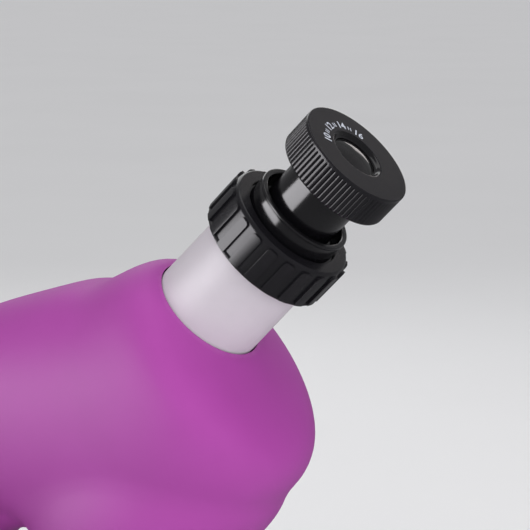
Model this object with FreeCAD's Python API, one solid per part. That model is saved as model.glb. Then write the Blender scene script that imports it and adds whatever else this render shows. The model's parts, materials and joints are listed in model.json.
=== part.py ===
"""Student microscope with a zoom eyepiece. Millimetres, +Z up, +X towards the user."""
import FreeCAD
import Part
import math
import os

V = FreeCAD.Vector

# ---- placing --------------------------------------------------------------
OPTICAL_AXIS_X = 7.68       # X of the vertical optical axis once the part is centred
PRISM_Z = 194.0             # height at which the optical axis bends into the tube
MOUTH = 31.8                # X and Z from the prism to the mouth of the inclined tube
TUBE_TILT = 45.0
WALL = 2.5

# ---- eyepiece -------------------------------------------------------------
TUBE_R = 17.5
TUBE_TOP = 29.6
COLLAR_R = 20.4
PAD_R = 21.2
PAD_COUNT = 21
COLLAR_BORE_R = 17.49
SOCKET_R = 17.4
BARREL_R = 11.6
BARREL_BORE_R = 11.65
HEAD_R = 18.0
RIB_COUNT = 76
ZOOM_TRAVEL = 9.2
ZOOM_TURN = 150.0
PIN_R = 1.1
PIN_Z = 40.4

# ---- nosepiece ------------------------------------------------------------
APEX_Z = 185.0
TURRET_TILT = 15.0
TURRET_R = 27.5
TURRET_TOP = 47.0           # distance from the apex along the turret's axis
SEAT_Z = 127.0
NECK_X = 8.0
NECK_R = 32.5
NECK_Z = 150.0

# ---- stage and focus ------------------------------------------------------
STAGE_TOP = 78.0
STAGE_T = 4.0
STAGE_X0 = -42.0
STAGE_X1 = 48.0
STAGE_HALF = 45.0
DISC_X = 17.0
CLIP_X = -32.0
CLIP_Y = 30.0
PITCH_X = -67.0             # pitch line of the rack
MODULE = 1.0
TEETH = 14
PINION_X = PITCH_X - MODULE * TEETH / 2 - 0.2
SHAFT_Z = 78.0
SHAFT_R = 3.0
KNOB_R = 18.0
SLIDE_GAP = 0.3

# ---- base -----------------------------------------------------------------
BASE_X = -24.0
FOOT_H = 3.8
DECK_Z = 32.5
ARM_X = -74.0
ARM_Z = 34.0
CELL_R = 7.25
CELL_Z = 14.0
SWITCH_X = 31.0


# ---- helpers --------------------------------------------------------------
def box(x0, x1, y0, y1, z0, z1):
    return Part.makeBox(x1 - x0, y1 - y0, z1 - z0, V(x0, y0, z0))


def cyl(r, x, y, z0, z1):
    return Part.makeCylinder(r, z1 - z0, V(x, y, z0), V(0, 0, 1))


def cyl_x(r, x0, x1, y, z):
    return Part.makeCylinder(r, x1 - x0, V(x0, y, z), V(1, 0, 0))


def cyl_y(r, y0, y1, x, z):
    return Part.makeCylinder(r, y1 - y0, V(x, y0, z), V(0, 1, 0))


def lathe(profile):
    pts = [V(r, 0, z) for r, z in profile]
    face = Part.Face(Part.makePolygon(pts + pts[:1]))
    return face.revolve(V(0, 0, 0), V(0, 0, 1), 360)


def prism(points, direction):
    face = Part.Face(Part.makePolygon(points + points[:1]))
    return face.extrude(direction)


def placed(shape, placement):
    out = shape.copy()
    out.Placement = placement.multiply(out.Placement)
    return out


def spun(shape, degrees, centre=V(0, 0, 0), axis=V(0, 0, 1)):
    out = shape.copy()
    out.rotate(centre, axis, degrees)
    return out


def moved(shape, x, y, z):
    out = shape.copy()
    out.translate(V(x, y, z))
    return out


def mirrored(shape):
    return shape.mirror(V(0, 0, 0), V(0, 1, 0))


def closed_curve(points):
    curve = Part.BSplineCurve()
    curve.interpolate(points, PeriodicFlag=True)
    return Part.Wire(curve.toShape())


TUBE_FRAME = FreeCAD.Placement(V(MOUTH, 0, PRISM_Z + MOUTH), FreeCAD.Rotation(V(0, 1, 0), TUBE_TILT))
TURRET_FRAME = FreeCAD.Placement(V(0, 0, APEX_Z), FreeCAD.Rotation(V(0, 1, 0), -TURRET_TILT))
TURRET_AXIS = V(math.sin(math.radians(TURRET_TILT)), 0, -math.cos(math.radians(TURRET_TILT)))


def on_tube(shape):
    return placed(shape, TUBE_FRAME)


def on_turret(shape):
    return placed(shape, TURRET_FRAME)


def save(name, shape):
    out = shape.copy()
    out.translate(V(OPTICAL_AXIS_X, 0, 0))
    out.exportStep("parts/" + name + ".step")
    box_now = out.BoundBox
    ok = out.isValid() and all(s.isClosed() for s in out.Solids)
    print(name, "ok" if ok else "BAD", len(out.Solids), "solids",
          round(box_now.XMin, 1), round(box_now.XMax, 1), round(box_now.YMin, 1),
          round(box_now.YMax, 1), round(box_now.ZMin, 1), round(box_now.ZMax, 1))
    return out


# ---- casing ---------------------------------------------------------------
def tilted_section(x, z, tilt, a, b, power):
    """Superellipse; at tilt 0 its plane is upright, at 90 it is level."""
    t = math.radians(tilt)
    up = V(-math.sin(t), 0, math.cos(t))
    centre = V(x, 0, PRISM_Z + z)
    pts = []
    for i in range(20):
        w = 2 * math.pi * i / 20
        ca = math.copysign(abs(math.cos(w)) ** (2 / power), math.cos(w))
        sa = math.copysign(abs(math.sin(w)) ** (2 / power), math.sin(w))
        pts.append(centre + up * (a * ca) + V(0, 1, 0) * (b * sa))
    return closed_curve(pts)


def level_section(x, z, a, b, power=2.0):
    pts = []
    for i in range(24):
        w = 2 * math.pi * i / 24
        ca = math.copysign(abs(math.cos(w)) ** (2 / power), math.cos(w))
        sa = math.copysign(abs(math.sin(w)) ** (2 / power), math.sin(w))
        pts.append(V(x + a * ca, b * sa, z))
    return closed_curve(pts)


def head_and_arm(inset):
    """Bulb at the tube's mouth, running back and down into the column."""
    s = math.sqrt(0.5)
    wires = []
    for u, v, tilt, a, b, power in [
        (2.6, 3.0, 45, 12, 12, 2.0),
        (1.8, 3.5, 45, 22, 21.5, 2.0),
        (-1.2, 8.5, 45, 31, 29, 2.05),
        (-7.0, 13.0, 45, 38.6, 33.8, 2.1),
        (-16.0, 13.8, 43, 42.0, 35.8, 2.15),
    ]:
        x = MOUTH + s * (u - inset + v)
        z = MOUTH + s * (u - inset - v)
        wires.append(tilted_section(x, z, tilt, a - inset, b - inset, power))
    for x, z, tilt, a, b, power in [
        (7, 1, 24, 41.3, 36, 2.2),
        (-22, -3, 14, 37, 35, 2.2),
        (-48, -10, 30, 33, 31, 2.2),
        (-67, -28, 58, 28.5, 28.5, 2.25),
        (-76, -55, 80, 25.5, 26.5, 2.3),
        (-78, -85, 90, 24, 25.5, 2.3),
        (-77.5, -115, 90, 24, 25.5, 2.3),
        (-76, -142, 90, 25.2, 26.6, 2.3),
        (ARM_X, ARM_Z - PRISM_Z, 90, 27.5, 28.6, 2.3),
    ]:
        wires.append(tilted_section(x, z, tilt, a - inset, b - inset, power))
    return Part.makeLoft(wires, True, False)


def neck(inset):
    rows = [(NECK_X, -44, NECK_R, NECK_R), (10.5, -36, 37.5, 34.2), (13, -26, 42, 34.8), (14.5, -14, 40, 32.5)]
    wires = [level_section(x, PRISM_Z + z, a - inset, b - inset) for x, z, a, b in rows]
    return Part.makeLoft(wires, True, False)


def casing_outer():
    body = head_and_arm(0).fuse(neck(0))
    crease = [e for e in body.Edges
              if e.BoundBox.ZMin > NECK_Z + 0.5 and e.BoundBox.ZMax < 200
              and e.BoundBox.YMax - e.BoundBox.YMin > 20]
    return body.makeFillet(22, crease)


def casing_cavity():
    room = head_and_arm(WALL).fuse(neck(WALL))
    room = room.cut(box(-120, 60, -50, 50, 0, ARM_Z + 3))
    return room.fuse(cyl(NECK_R - 3.5, NECK_X, 0, NECK_Z - 1, NECK_Z + 4))


def neck_posts():
    out = []
    for angle in (0, 110, 250):
        post = box(18, 31.5, -4, 4, NECK_Z, NECK_Z + 11).fuse(cyl(4, 22, 0, NECK_Z, NECK_Z + 11))
        out.append(moved(spun(post, angle), NECK_X, 0, 0))
    return out


def neck_screw_points():
    return [(NECK_X + 22 * math.cos(math.radians(w)), 22 * math.sin(math.radians(w))) for w in (0, 110, 250)]


ARM_BOLTS = [(-86.0, 13.0), (-86.0, -13.0), (-61.5, 0.0)]
COVER_SCREW_Z = (60.0, 138.0)
COVER_X = -90.0


def casing():
    outer = casing_outer()
    cavity = casing_cavity()
    seat = on_tube(cyl(25, 0, 0, -3.2, 4).cut(cyl(18, 0, 0, -4, 5)))
    adds = [seat]
    adds.extend(neck_posts())
    for x, y in ARM_BOLTS:
        adds.append(cyl(5.5, x, y, ARM_Z + 2, ARM_Z + 11))
    for z in COVER_SCREW_Z:
        adds.append(box(COVER_X, -84, -30, 30, z - 4.5, z + 4.5))
    for side in (-1, 1):
        adds.append(cyl_y(9, min(side * 18.5, side * 27), max(side * 18.5, side * 27), PINION_X, SHAFT_Z))
    inner_room = cavity
    for piece in adds:
        inner_room = inner_room.cut(piece)
    shell = outer.cut(inner_room)
    shell = shell.cut(on_tube(cyl(17.95, 0, 0, -20, 10)))
    shell = shell.cut(on_tube(cyl(21.8, 0, 0, -13, -3.2)))
    for x, y in neck_screw_points():
        shell = shell.cut(cyl(1.2, x, y, NECK_Z - 1, NECK_Z + 9))
    for x, y in ARM_BOLTS:
        shell = shell.cut(cyl(2.0, x, y, ARM_Z - 1, ARM_Z + 10))
    for i in range(3):
        shell = shell.cut(on_tube(spun(cyl(0.8, 19.4, 0, -4, 0.5), 60 + 120 * i)))
    shell = shell.cut(cyl_y(6, -40, 40, PINION_X, SHAFT_Z))
    shell = shell.cut(box(-56.5, -40, -20, 20, 45.5, 115.5))
    shell = shell.cut(rail_solid())
    return shell


def arm_casing():
    body = casing().cut(box(-130, COVER_X, -40, 40, 50, 148))
    for z in COVER_SCREW_Z:
        body = body.fuse(cyl_x(4.4, -99.2, COVER_X + 2, 0, z)).cut(cyl_x(1.4, -110, -87, 0, z))
    return largest(body)


def arm_rear_cover():
    panel = box(-130, COVER_X - 0.15, -40, 40, 50.15, 147.85)
    cover = head_and_arm(0).common(panel).cut(head_and_arm(WALL))
    for z in COVER_SCREW_Z:
        cover = cover.cut(cyl_x(4.4, -99.2, -85, 0, z))
        cover = cover.cut(cyl_x(1.4, -110, -88, 0, z)).cut(cyl_x(3.2, -110, -100.5, 0, z))
    return cover


def largest(shape):
    solids = sorted(shape.Solids, key=lambda s: s.Volume)
    return solids[-1]


# ---- column: rail, rack, pinion ------------------------------------------
def rail_solid():
    flange = box(-66, -61, -17.5, 17.5, 46, 115)
    web = box(-61.5, -56.5, -12, 12, 47, 114)
    nose = prism([V(-56.5, -7.5, 47), V(-50.5, -10.5, 47), V(-50.5, 10.5, 47), V(-56.5, 7.5, 47)], V(0, 0, 67))
    return flange.fuse(web).fuse(nose)


def slide_rail():
    rail = rail_solid().cut(box(-70, -45, -4.5, 4.5, 49, 112))
    return rail.cut(cyl(6.0, ARM_BOLTS[2][0], 0, 40, 45.5))


def stage_carrier():
    block = box(-56.1, STAGE_X0, -16, 16, 62, 92)
    block = block.makeFillet(3, [e for e in block.Edges
                                 if e.BoundBox.XMin > STAGE_X0 - 1 and e.BoundBox.ZMax - e.BoundBox.ZMin > 20])
    groove = prism([V(-57, -7.6, 60), V(-50.2, -11.0, 60), V(-50.2, 11.0, 60), V(-57, 7.6, 60)], V(0, 0, 40))
    shelf = box(STAGE_X0 - 2, -12, -15, 15, 66, STAGE_TOP - STAGE_T)
    shelf = shelf.makeFillet(4, [e for e in shelf.Edges
                                 if e.BoundBox.XMin > -13 and e.BoundBox.ZMax - e.BoundBox.ZMin > 5])
    body = block.cut(groove).fuse(shelf)
    for x, y in STAGE_SCREWS:
        body = body.cut(cyl(1.5, x, y, 60, 80)).cut(cyl(3.2, x, y, 60, 68.4))
    return body


STAGE_SCREWS = [(-19.0, 9.0), (-19.0, -9.0), (-35.0, 0.0)]


def focus_rack():
    half = math.pi * MODULE / 4 - 0.17
    slope = math.tan(math.radians(20))
    top = 0.85
    root = 1.25
    bar = box(PITCH_X + root, -50.2, -4.1, 4.1, 63, 95)
    for k in range(-4, 6):
        z = SHAFT_Z + k * math.pi * MODULE
        if z - 1.6 < 63 or z + 1.6 > 95:
            continue
        w_top = half - top * slope
        w_root = half + root * slope
        tooth = prism([V(PITCH_X + root + 0.1, -4.1, z - w_root), V(PITCH_X - top, -4.1, z - w_top),
                       V(PITCH_X - top, -4.1, z + w_top), V(PITCH_X + root + 0.1, -4.1, z + w_root)], V(0, 8.2, 0))
        bar = bar.fuse(tooth)
    return bar


def focus_pinion():
    """Involute teeth; a gap faces the rack."""
    pitch_r = MODULE * TEETH / 2
    base_r = pitch_r * math.cos(math.radians(20))
    outer_r = pitch_r + 0.85
    root_r = pitch_r - 1.25
    half_pitch = (math.pi * MODULE / 4 - 0.17) / pitch_r
    inv_pitch = math.tan(math.radians(20)) - math.radians(20)
    pts = []
    for k in range(TEETH):
        centre = 2 * math.pi * (k + 0.5) / TEETH
        flank = []
        for i in range(6):
            r = max(base_r, root_r) + (outer_r - max(base_r, root_r)) * i / 5
            a = math.acos(base_r / r)
            flank.append((r, half_pitch + inv_pitch - (math.tan(a) - a)))
        low = (root_r, flank[0][1])
        for r, w in [low] + flank:
            pts.append((r, centre - w))
        for r, w in flank[::-1] + [low]:
            pts.append((r, centre + w))
    corners = [V(PINION_X + r * math.cos(w), -4.1, SHAFT_Z + r * math.sin(w)) for r, w in pts]
    gear = prism(corners, V(0, 8.2, 0))
    return gear.cut(cyl_y(SHAFT_R, -10, 10, PINION_X, SHAFT_Z))


def focus_shaft():
    return cyl_y(SHAFT_R, -40, 40, PINION_X, SHAFT_Z)


def focus_knob(side):
    profile = [(SHAFT_R, 27.4), (9.5, 27.4), (9.5, 28.4), (16.8, 28.4), (KNOB_R, 29.6), (KNOB_R, 41.6),
               (16.6, 43.4), (10.5, 43.4), (10.0, 42.6), (0, 42.6), (0, 40), (SHAFT_R, 40)]
    knob = lathe(profile)
    flutes = [spun(cyl(1.3, KNOB_R + 0.75, 0, 27, 44), 360 * i / 36) for i in range(36)]
    knob = knob.cut(Part.makeCompound(flutes))
    knob = placed(knob, FreeCAD.Placement(V(PINION_X, 0, SHAFT_Z), FreeCAD.Rotation(V(1, 0, 0), -90)))
    return knob if side > 0 else mirrored(knob)


def shaft_bushings():
    one = lathe([(SHAFT_R + 0.05, 18.5), (6, 18.5), (6, 25.6), (8, 25.6), (8, 27.0), (SHAFT_R + 0.05, 27.0)])
    one = placed(one, FreeCAD.Placement(V(PINION_X, 0, SHAFT_Z), FreeCAD.Rotation(V(1, 0, 0), -90)))
    return Part.makeCompound([one, mirrored(one)])


# ---- stage ---------------------------------------------------------------
def stage_plate():
    plate = box(STAGE_X0, STAGE_X1, -STAGE_HALF, STAGE_HALF, STAGE_TOP - STAGE_T, STAGE_TOP)
    plate = plate.makeFillet(5, [e for e in plate.Edges if abs(e.Length - STAGE_T) < 0.01])
    plate = plate.cut(cyl(10, 0, 0, 70, 80)).cut(cyl(12, 0, 0, 70, 76.5))
    for x, y in STAGE_SCREWS:
        plate = plate.cut(cyl(1.5, x, y, 70, 77))
    for side in (-1, 1):
        plate = plate.cut(cyl(2.0, CLIP_X, side * CLIP_Y, 70, 80))
    return plate.cut(cyl(1.6, DISC_X, 0, 70, 77))


def stage_screws():
    one = cyl(3.0, 0, 0, 66.2, 68.4).fuse(cyl(1.5, 0, 0, 68.4, 77))
    one = one.cut(cyl(1.3, 0, 0, 66, 67.4))
    return Part.makeCompound([moved(one, x, y, 0) for x, y in STAGE_SCREWS])


def clip_screws():
    one = lathe([(0, 74.2), (2.0, 74.2), (2.0, 79.6), (4.2, 79.6), (4.4, 80.0), (4.4, 81.2), (3.6, 82.0), (0, 82.0)])
    one = one.cut(box(-5, 5, -0.5, 0.5, 81.3, 83))
    return Part.makeCompound([moved(one, CLIP_X, CLIP_Y, 0), moved(one, CLIP_X, -CLIP_Y, 0)])


def stage_clip(side):
    low = [(0, 78.35), (10, 78.35), (21, 80.2), (36, 78.6), (43, 79.4)]
    pts = [V(s, -3.2, z) for s, z in low] + [V(s, -3.2, z + 0.9) for s, z in low[::-1]]
    arm = prism(pts, V(0, 6.4, 0))
    tip = cyl(3.2, 39.8, 0, 70, 90).fuse(box(-2, 39.8, -4, 4, 70, 90))
    clip = arm.common(tip).fuse(cyl(6.2, 0, 0, 78.35, 79.25))
    clip = clip.cut(cyl(2.06, 0, 0, 70, 90))
    clip = moved(spun(clip, -23), CLIP_X, CLIP_Y, 0)
    return clip if side > 0 else mirrored(clip)


def condenser_ring():
    return lathe([(8.5, 73.2), (11.4, 73.2), (12, 74), (12, 76.5), (7.6, 76.5), (7.6, 76.0), (8.5, 76.0)])


def dome_lens(r, z_rim0, z_rim1, rise_low, rise_top):
    pts = []
    for i in range(9):
        x = r * i / 8
        pts.append((x, z_rim0 - rise_low * (1 - (x / r) ** 2)))
    for i in range(8, -1, -1):
        x = r * i / 8
        pts.append((x, z_rim1 + rise_top * (1 - (x / r) ** 2)))
    return lathe(pts)


def condenser_lens():
    return dome_lens(8.5, 74.2, 75.0, 0.4, 2.2).cut(cyl(20, 0, 0, 75.9, 80).cut(cyl(7.55, 0, 0, 70, 90)))


def diaphragm_disc():
    disc = cyl(25, 0, 0, 69.3, 71)
    disc = disc.cut(cyl(2.56, 0, 0, 60, 80))
    for i, r in enumerate((3.0, 1.0, 2.0, 4.2, 5.5)):
        disc = disc.cut(spun(cyl(r, -DISC_X, 0, 60, 80), 72 * i))
    grips = [spun(cyl(1.0, 25.5, 0, 60, 80), 6 * i) for i in range(60)]
    return moved(disc.cut(Part.makeCompound(grips)), DISC_X, 0, 0)


def diaphragm_screw():
    one = lathe([(0, 67.2), (4.2, 67.2), (4.5, 67.6), (4.5, 69.0), (2.5, 69.0), (2.5, 71.3), (4.5, 71.3),
                 (4.5, 74.0), (1.6, 74.0), (1.6, 77.0), (0, 77.0)])
    return moved(one.cut(box(-5, 5, -0.5, 0.5, 66, 68)), DISC_X, 0, 0)


# ---- nosepiece -------------------------------------------------------------
def nosepiece_base():
    top = Part.Wire(Part.makeCircle(NECK_R, V(NECK_X, 0, NECK_Z)))
    foot = TURRET_AXIS * (TURRET_TOP - 0.35)
    low = Part.Wire(Part.makeCircle(TURRET_R + 0.3, V(0, 0, APEX_Z) + foot, TURRET_AXIS * -1))
    body = Part.makeLoft([top, low], True, True)
    body = body.cut(cyl(7.5, 0, 0, 100, 170))
    body = body.cut(on_turret(cyl(1.8, 0, 0, -60, -42.5)))
    for x, y in neck_screw_points():
        body = body.cut(cyl(2.6, x, y, 100, 148)).cut(cyl(1.2, x, y, 140, 155))
    body = body.cut(on_turret(box(-31, -26.6, -4.1, 4.1, -50, -41.5)))
    return body


def nosepiece_screws():
    one = cyl(2.2, 0, 0, 146.4, 148).fuse(cyl(1.2, 0, 0, 148, 158))
    one = one.cut(box(-3, 3, -0.4, 0.4, 146, 147))
    return Part.makeCompound([moved(one, x, y, 0) for x, y in neck_screw_points()])


def turret_screw():
    one = lathe([(0, -57.4), (3.8, -57.4), (4.2, -57.0), (4.2, -55.4), (2.6, -55.4), (2.6, -46.65), (1.8, -46.65),
                 (1.8, -43), (0, -43)])
    return on_turret(one.cut(box(-7, 7, -0.5, 0.5, -58, -56.4)))


def detent_spring():
    leaf = box(-27.9, -27.3, -4, 4, -46.65, -42).fuse(box(-28.7, -28.1, -4, 4, -53.5, -46.6))
    leaf = leaf.fuse(box(-28.7, -27.3, -4, 4, -46.65, -46.05)).fuse(box(-27.9, -26.6, -4, 4, -46.65, -41.5))
    bead = cyl(0.9, -28.6, 0, -52.5, -48.5)
    return on_turret(leaf.fuse(bead.cut(box(-40, -28.7, -5, 5, -60, -40))))


def objective_axis_turn(shape, k):
    return spun(shape, 120 * k, V(0, 0, APEX_Z), TURRET_AXIS)


def turret():
    body = lathe([(0, -47), (26.6, -47), (27.5, -47.8), (27.5, -51.9), (26.9, -52.8), (8, -57.86), (0, -57.86)])
    body = body.cut(cyl(2.65, 0, 0, -70, -40)).cut(cyl(4.5, 0, 0, -70, -55.35))
    flutes = [spun(cyl(1.1, 28.2, 0, -60, -40), 60 + 360 * (i + 0.5) / 48) for i in range(48)]
    notches = [spun(cyl(1.9, -28.6, 0, -60, -40), 120 * i) for i in range(3)]
    body = body.cut(Part.makeCompound(flutes))
    body = body.cut(Part.makeCompound(notches))
    body = on_turret(body)
    for k in range(3):
        body = body.cut(objective_axis_turn(cyl(9.0, 0, 0, SEAT_Z - 3, SEAT_Z + 14), k))
        body = body.cut(objective_axis_turn(cyl(12.4, 0, 0, SEAT_Z - 8, SEAT_Z), k))
    return body


def objective(tip, outline, glass_r, k):
    profile = [(5.0, SEAT_Z + 4.5), (9.0, SEAT_Z + 4.5), (9.0, SEAT_Z), (11.8, SEAT_Z), (11.8, 122.6), (11.3, 122.0),
               (11.0, 122.0), (11.0, 114.2), (10.6, 114.2), (10.6, 112.2), (11.0, 112.2)]
    profile.extend(outline)
    profile.extend([(glass_r, tip), (glass_r, tip + 1.6), (glass_r - 0.5, tip + 1.6), (glass_r - 0.5, tip + 4),
                    (5.0, tip + 9)])
    return objective_axis_turn(lathe(profile), k)


OUTLINE_4X = [(11.0, 105.5), (9.4, 103.0), (9.0, 101.4), (8.6, 101.0)]
OUTLINE_10X = [(11.0, 103.0), (8.4, 98.5), (8.0, 93.0), (6.6, 91.4), (6.2, 91.0)]
OUTLINE_40X = [(11.0, 99.0), (8.6, 95.0), (8.2, 90.0), (5.2, 85.2), (4.6, 83.9), (4.2, 83.5)]


def band(k):
    return objective_axis_turn(lathe([(10.6, 112.2), (11.05, 112.2), (11.05, 114.2), (10.6, 114.2)]), k)


def objective_lenses():
    out = []
    for tip, r, k in ((101.0, 4.6, 0), (91.0, 3.0, 1), (83.5, 1.5, 2)):
        out.append(objective_axis_turn(lathe([(0, tip + 0.5), (r, tip + 0.3), (r, tip + 1.6), (0, tip + 1.6)]), k))
    return Part.makeCompound(out)


# ---- head ------------------------------------------------------------------
def prism_holder():
    foot = cyl(14.5, 0, 0, NECK_Z, NECK_Z + 3).fuse(cyl(11, 0, 0, NECK_Z + 3, 182))
    cradle = box(-15, 14, -13, 13, 180, 208)
    cradle = cradle.cut(box(-12.5, 20, -11, 11, 182.5, 212))
    cradle = cradle.cut(prism([V(14.5, -14, 194), V(14.5, -14, 209), V(-1, -14, 209)], V(0, 28, 0)))
    return foot.fuse(cradle).cut(cyl(8.5, 0, 0, 140, 190))


def roof_prism():
    pts = [V(-12.5, -11, 182.5), V(10.5, -11, 182.5), V(10.5, -11, 194), V(0, -11, 204.5), V(-12.5, -11, 206)]
    return prism(pts, V(0, 22, 0))


def eyepiece_tube():
    body = lathe([(14.5, -12), (17.3, -12), (17.3, -6.2), (21.3, -6.2), (21.3, -3.2), (TUBE_R, -3.2), (TUBE_R, 0),
                  (17.15, 29.0), (16.8, TUBE_TOP), (14.5, TUBE_TOP)])
    for i in range(3):
        body = body.cut(spun(cyl(0.8, 19.4, 0, -8, -3), 60 + 120 * i))
    return on_tube(body)


def tube_screws():
    one = cyl(1.5, 19.4, 0, -7.4, -6.2).fuse(cyl(0.8, 19.4, 0, -6.2, 0.2))
    return on_tube(Part.makeCompound([spun(one, 60 + 120 * i) for i in range(3)]))


def collar_groove():
    pitch = ZOOM_TRAVEL * 360 / ZOOM_TURN
    helix = Part.makeHelix(pitch, ZOOM_TRAVEL, 18.0)
    half = PIN_R + 0.3
    outline = Part.makePolygon([V(17.2, 0, -half), V(18.75, 0, -half), V(18.75, 0, half), V(17.2, 0, half),
                                V(17.2, 0, -half)])
    sweep = Part.Wire(helix).makePipeShell([outline], True, True)
    ends = Part.makeCylinder(half, 1.55, V(17.2, 0, 0), V(1, 0, 0))
    far = moved(spun(ends, ZOOM_TURN), 0, 0, ZOOM_TRAVEL)
    return moved(spun(sweep.fuse(ends).fuse(far), 180 - ZOOM_TURN), 0, 0, PIN_Z - ZOOM_TRAVEL)


def zoom_collar():
    body = lathe([(COLLAR_BORE_R, 29.05), (20.7, 29.05), (21.0, 29.35), (21.0, 29.75), (COLLAR_R, 30.2),
                  (COLLAR_R, 41.3), (20.1, 42.1), (19.5, 42.6), (16.0, 42.6), (15.8, 42.4), (15.8, 41.9),
                  (COLLAR_BORE_R, 41.9)])
    pad = box(18.6, 23, -1.75, 1.75, 29.3, 41.4)
    pad = pad.makeFillet(1.1, [e for e in pad.Edges if e.BoundBox.ZMin > 41.3 and e.BoundBox.XMax - e.BoundBox.XMin > 3])
    rim = lathe([(18.5, 29.0), (PAD_R - 0.3, 29.0), (PAD_R, 29.4), (PAD_R, 40.6), (20.4, 41.5), (18.5, 41.5)])
    pad = pad.common(rim)
    body = body.multiFuse([spun(pad, 360 * i / PAD_COUNT) for i in range(PAD_COUNT)])
    return on_tube(body.cut(collar_groove()))


def eyepiece_socket():
    body = lathe([(BARREL_BORE_R, 18), (14.45, 18), (14.45, TUBE_TOP), (SOCKET_R, TUBE_TOP), (SOCKET_R, 41.6),
                  (15.2, 41.6), (15.2, 47.0), (15.45, 47.7), (15.4, 48.2), (15.1, 48.4), (14.0, 48.4), (13.7, 48.1),
                  (13.6, 47.5), (13.6, 43.2), (13.0, 42.6), (BARREL_BORE_R, 42.6)])
    return on_tube(body.cut(box(-20, -5, -1.4, 1.4, 29.7, 41.9)))


def eyepiece_barrel():
    body = lathe([(10.2, 20), (11.3, 20), (BARREL_R, 20.4), (BARREL_R, 66), (10.2, 66)])
    return on_tube(body.cut(Part.makeCylinder(PIN_R, 5, V(-14, 0, PIN_Z), V(1, 0, 0))))


def zoom_pin():
    return on_tube(Part.makeCylinder(PIN_R, 18.4 - 10.3, V(-18.4, 0, PIN_Z), V(1, 0, 0)))


def eyepiece_head():
    body = lathe([(BARREL_R, 61.1), (17.3, 61.1), (HEAD_R, 61.8), (HEAD_R, 71.1), (17.8, 71.6), (17.35, 71.95),
                  (8.7, 71.95), (8.3, 71.7), (7.7, 70.6), (7.0, 69.6), (6.6, 69.3), (6.6, 68.4), (9.0, 68.4), (9.0, 66),
                  (BARREL_R, 66)])
    cutters = []
    for i in range(RIB_COUNT):
        groove = cyl(0.47, 18.06, 0, 60, 69.4).fuse(Part.makeSphere(0.47, V(18.06, 0, 69.4)))
        cutters.append(spun(groove, 360 * i / RIB_COUNT))
    return on_tube(body.cut(Part.makeCompound(cutters)))


def scale_marks():
    ticks = []
    for i in range(13):
        long_tick = i % 4 == 0
        r0 = 12.2 if long_tick else 13.0
        tick = box(r0, 14.0, -0.14, 0.14, 71.95, 71.99)
        ticks.append(spun(tick, 130 + 7.5 * i))
    return on_tube(Part.makeCompound(ticks))


def eye_lens():
    body = dome_lens(6.55, 66.2, 68.4, 0.0, 1.3)
    return on_tube(body.fuse(lathe([(0, 66.2), (9.0, 66.2), (9.0, 68.4), (0, 68.4)])))


def lens_retainer():
    return on_tube(lathe([(7.6, 62.6), (10.2, 62.6), (10.2, 66.0), (9.0, 66.0), (9.0, 66.2), (7.6, 66.2)]))


def field_lens():
    return on_tube(dome_lens(10.2, 22.0, 23.5, 0.2, 2.4))


# ---- base ------------------------------------------------------------------
def base_loft(inset, rows):
    return Part.makeLoft([level_section(BASE_X, z, a - inset, b - inset, 2.6) for z, a, b in rows], True, False)


def base_shell():
    outer = base_loft(0, [(3.5, 84.5, 58.5), (6, 86, 60), (14, 86, 60), (22, 84.4, 58.2), (27, 81, 54.8),
                          (30.5, 75.5, 49.3), (DECK_Z, 66, 41.5)])
    room = base_loft(2.6, [(2.9, 84, 58), (6, 86, 60), (14, 86, 60), (20, 84.4, 58.2), (24.5, 81, 54.8),
                           (28, 75.5, 49.3), (DECK_Z - 2.6, 66, 41.5)])
    plinth = Part.makeLoft([level_section(ARM_X, 20, 29.5, 31.0, 2.3), level_section(ARM_X, 28, 29.2, 30.6, 2.3),
                            level_section(ARM_X, ARM_Z, 28.2, 29.4, 2.3)], True, False)
    outer = outer.fuse(plinth)
    posts = [cyl(4.0, x, y, 6.2, 31) for x, y in BOTTOM_SCREWS]
    for post in posts:
        room = room.cut(post)
    shell = outer.cut(room)
    shell = shell.cut(cyl(15.0, 0, 0, 20, 40))
    shell = shell.cut(box(SWITCH_X - 7.2, SWITCH_X + 7.2, -5.8, 5.8, 20, 40))
    for x, y in ARM_BOLTS:
        shell = shell.cut(cyl(2.0, x, y, 20, 40)).cut(cyl(4.6, x, y, 18, 29.4))
    for x, y in BOTTOM_SCREWS:
        shell = shell.cut(cyl(1.2, x, y, 5, 18))
    return largest(shell)


BOTTOM_SCREWS = [(-84.0, 37.0), (-84.0, -37.0), (37.0, 35.0), (37.0, -35.0)]
DOOR_SCREW = (-96.0, 0.0)


def base_bottom_plate():
    plate = Part.Face(level_section(BASE_X, FOOT_H, 80.8, 54.8, 2.6)).extrude(V(0, 0, 2.4))
    plate = plate.cut(box(-92, -40, -24, 24, 0, 10)).cut(box(-99, -37, -27, 27, 0, FOOT_H + 1.4))
    for x, y in BOTTOM_SCREWS:
        plate = plate.cut(cyl(1.2, x, y, 0, 10)).cut(cyl(2.8, x, y, 0, FOOT_H + 1.2))
    return plate.cut(cyl(1.2, DOOR_SCREW[0], DOOR_SCREW[1], 0, 10))


def bottom_screws():
    one = cyl(2.6, 0, 0, FOOT_H, FOOT_H + 1.2).fuse(cyl(1.2, 0, 0, FOOT_H + 1.2, 16))
    one = one.cut(box(-3, 3, -0.35, 0.35, 0, FOOT_H + 0.6))
    return Part.makeCompound([moved(one, x, y, 0) for x, y in BOTTOM_SCREWS])


def battery_door():
    door = box(-98.6, -37.4, -26.6, 26.6, FOOT_H, FOOT_H + 1.4)
    door = door.makeFillet(2, [e for e in door.Edges if abs(e.Length - 1.4) < 0.01])
    door = door.cut(cyl(1.2, DOOR_SCREW[0], DOOR_SCREW[1], 0, 10))
    door = door.cut(cyl(2.3, DOOR_SCREW[0], DOOR_SCREW[1], 0, FOOT_H + 0.7))
    for i in range(5):
        door = door.cut(box(-50 + 2.4 * i, -49 + 2.4 * i, -10, 10, FOOT_H - 1, FOOT_H + 0.5))
    return door


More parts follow.
